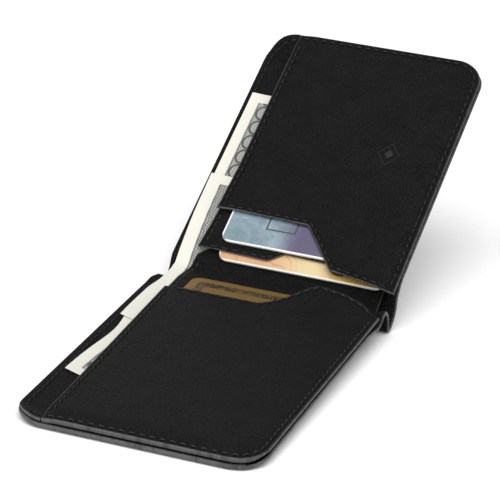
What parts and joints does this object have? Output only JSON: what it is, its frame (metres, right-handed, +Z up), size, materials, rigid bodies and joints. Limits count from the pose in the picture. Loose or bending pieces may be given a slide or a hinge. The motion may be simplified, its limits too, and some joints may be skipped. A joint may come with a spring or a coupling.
{
  "type": "card holder",
  "caption": "Open bifold card holder in black leather: a stitched cover in two halves with card pockets, a note divider, cards and folded banknotes.",
  "frame": {"origin": "centre of the open holder's bounding box, on the surface that it stands on", "axes": "+X along the fold, from the open side to the sewn side; +Y from the lower half to the raised half; +Z up"},
  "size_m": [0.074, 0.2001, 0.0612],
  "materials": {
    "cover_leather": "smooth black full-grain leather, satin",
    "pocket_leather": "smooth black leather, satin",
    "thread": "black waxed polyester thread",
    "card_gold": "satin gold laminated PVC card",
    "card_blue": "blue to violet printed PVC card, white edge",
    "card_peach": "peach to yellow printed PVC card, white edge",
    "note_paper": "cream cotton banknote paper with grey print"
  },
  "bodies": {
    "lower_half": {"cover_lower": "cover_leather", "cover_spine": "cover_leather", "divider_lower": "pocket_leather", "divider_fold": "pocket_leather", "pocket_lower": "pocket_leather", "seam_lower_rim": "thread", "seam_lower_left": "thread", "seam_lower_mouth": "thread", "seam_lower_strip": "thread"},
    "upper_half": {"cover_upper": "cover_leather", "divider_upper": "pocket_leather", "pocket_upper_front": "pocket_leather", "pocket_upper_second": "pocket_leather", "seam_upper_rim": "thread", "seam_upper_left": "thread", "seam_upper_mouth": "thread", "seam_second_mouth": "thread", "seam_upper_strip": "thread"},
    "gold_card": {"card_gold": "card_gold"},
    "blue_card": {"card_blue": "card_blue"},
    "peach_card": {"card_peach": "card_peach"},
    "notes_lower": {"note_a_lower": "note_paper", "note_b_lower": "note_paper", "note_a_fold": "note_paper", "note_b_fold": "note_paper"},
    "notes_upper": {"note_a_upper": "note_paper", "note_b_upper": "note_paper"}
  },
  "joints": [
    {"name": "fold", "type": "hinge", "parent": "lower_half", "child": "upper_half", "pos_m": [0, 0.00472, 0.01102], "axis": [1, 0, 0], "range_deg": [-27, 150], "deforming": ["cover_spine", "divider_fold"]},
    {"name": "gold_card_slide", "type": "slide", "parent": "lower_half", "child": "gold_card", "axis": [0, 0.9989, 0.0471], "range_m": [0, 0.008]},
    {"name": "blue_card_slide", "type": "slide", "parent": "upper_half", "child": "blue_card", "axis": [0, -0.8643, -0.503], "range_m": [0, 0.009]},
    {"name": "peach_card_slide", "type": "slide", "parent": "upper_half", "child": "peach_card", "axis": [0, -0.8643, -0.503], "range_m": [0, 0.003]},
    {"name": "notes_slide", "type": "slide", "parent": "lower_half", "child": "notes_lower", "axis": [-1, 0, 0], "range_m": [0, 0.07]},
    {"name": "notes_fold", "type": "hinge", "parent": "notes_lower", "child": "notes_upper", "pos_m": [0, 0.00472, 0.01102], "axis": [1, 0, 0], "range_deg": [-27, 150], "deforming": ["note_a_fold", "note_b_fold"]}
  ],
  "couplings": [
    {"joint": "notes_fold", "follows": "fold", "ratio": 1}
  ]
}
